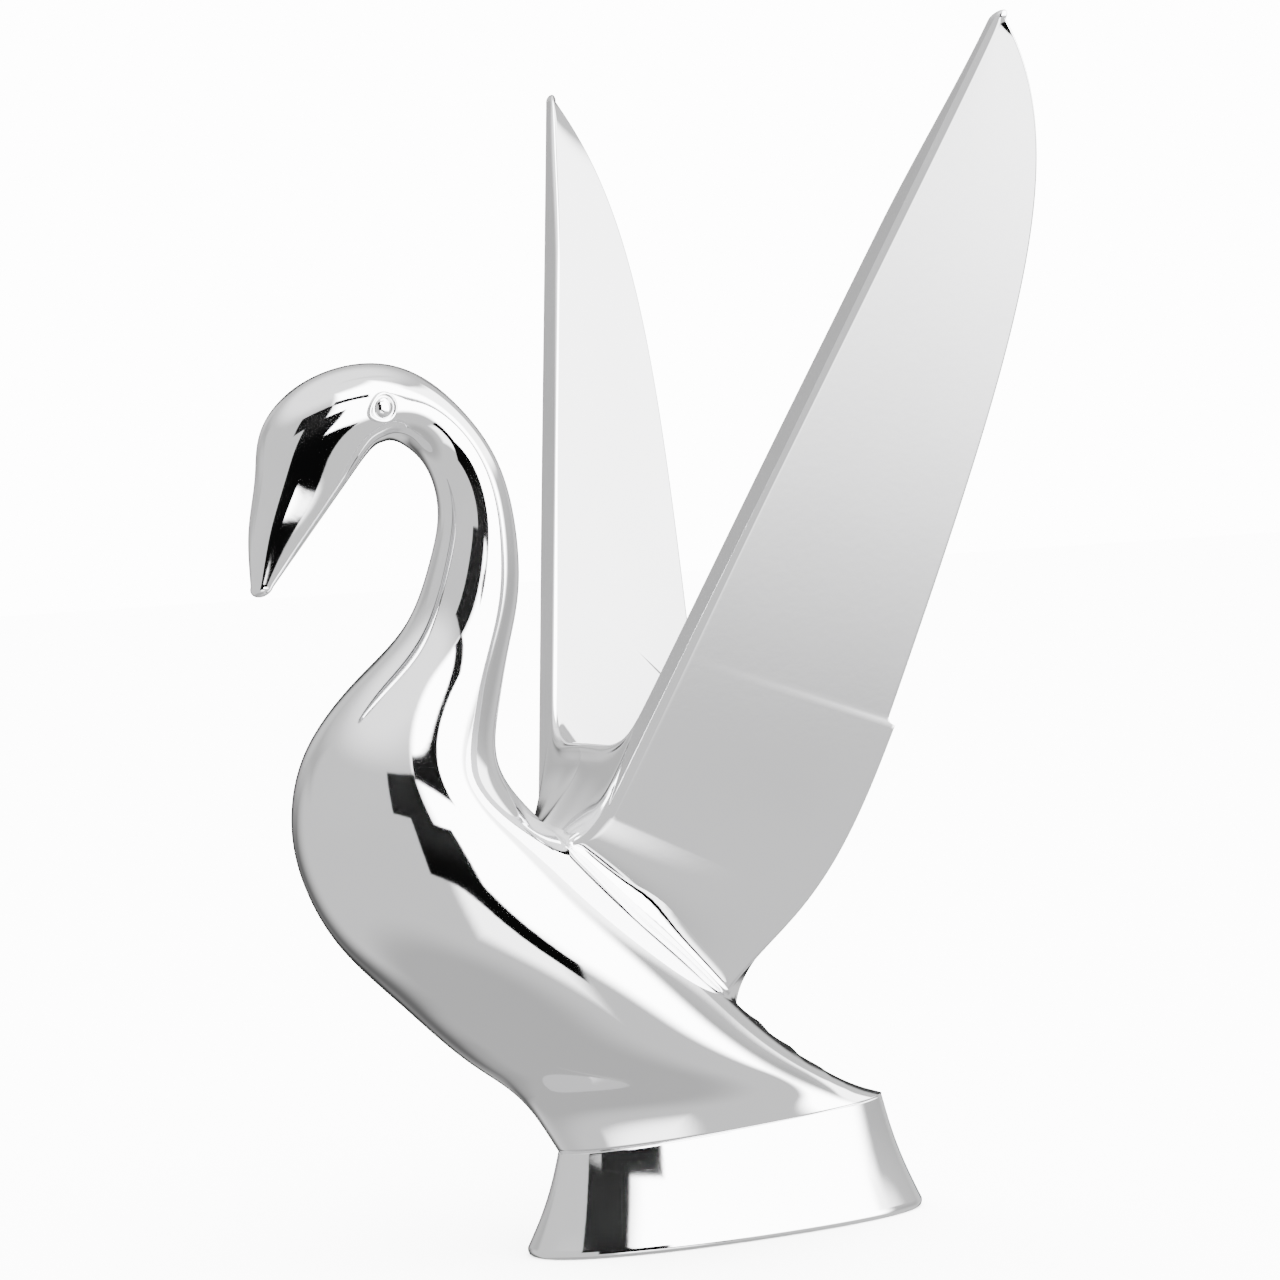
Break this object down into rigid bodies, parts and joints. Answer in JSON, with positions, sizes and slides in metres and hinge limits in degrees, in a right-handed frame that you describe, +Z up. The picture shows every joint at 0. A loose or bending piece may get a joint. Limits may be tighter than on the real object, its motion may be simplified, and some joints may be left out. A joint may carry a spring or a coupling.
{
  "type": "hood ornament",
  "caption": "Chrome swan with raised wings on a flared boat-shaped base, bolted to a vehicle's hood by threaded studs and nuts.",
  "frame": {"origin": "on the base's mounting face, midway between the studs", "axes": "+Z up out of the hood, -Y the way the swan faces, +X to the swan's left"},
  "size_m": [0.1334, 0.109, 0.2045],
  "materials": {
    "body_chrome": "mirror-polished chrome plate over die-cast zinc",
    "wing_chrome": "mirror-polished chrome plate over die-cast zinc",
    "base_chrome": "mirror-polished chrome plate over die-cast zinc",
    "gasket_rubber": "matte sheet rubber",
    "stud_steel": "bright zinc plate",
    "nut_steel": "bright zinc plate",
    "washer_steel": "bright zinc plate",
    "screw_steel": "black-oxide steel"
  },
  "bodies": {
    "ornament": {"swan_body": "body_chrome", "wing_pair": "wing_chrome", "pedestal": "base_chrome", "base_gasket": "gasket_rubber", "mounting_stud_front": "stud_steel", "mounting_stud_rear": "stud_steel", "wing_screw_front": "screw_steel", "wing_screw_rear": "screw_steel", "wing_lock_washer_front": "washer_steel", "wing_lock_washer_rear": "washer_steel", "body_screw_front": "screw_steel", "body_screw_rear": "screw_steel", "body_lock_washer_front": "washer_steel", "body_lock_washer_rear": "washer_steel"},
    "washers_front": {"flat_washer_front": "washer_steel", "lock_washer_front": "washer_steel"},
    "nut_front": {"hex_nut_front": "nut_steel"},
    "washers_rear": {"flat_washer_rear": "washer_steel", "lock_washer_rear": "washer_steel"},
    "nut_rear": {"hex_nut_rear": "nut_steel"}
  },
  "joints": [
    {"name": "washers_front_slide", "type": "slide", "parent": "ornament", "child": "washers_front", "axis": [0, 0, -1], "range_m": [0, 0.01201]},
    {"name": "nut_front_turn", "type": "hinge", "parent": "washers_front", "child": "nut_front", "pos_m": [0, -0.01905, 0], "axis": [0, 0, -1], "range_deg": [0, 4320]},
    {"name": "washers_rear_slide", "type": "slide", "parent": "ornament", "child": "washers_rear", "axis": [0, 0, -1], "range_m": [0, 0.01201]},
    {"name": "nut_rear_turn", "type": "hinge", "parent": "washers_rear", "child": "nut_rear", "pos_m": [0, 0.01905, 0], "axis": [0, 0, -1], "range_deg": [0, 4320]}
  ],
  "couplings": [
    {"joint": "washers_front_slide", "follows": "nut_front_turn", "m_per_rad": 0.00015915},
    {"joint": "washers_rear_slide", "follows": "nut_rear_turn", "m_per_rad": 0.00015915}
  ]
}
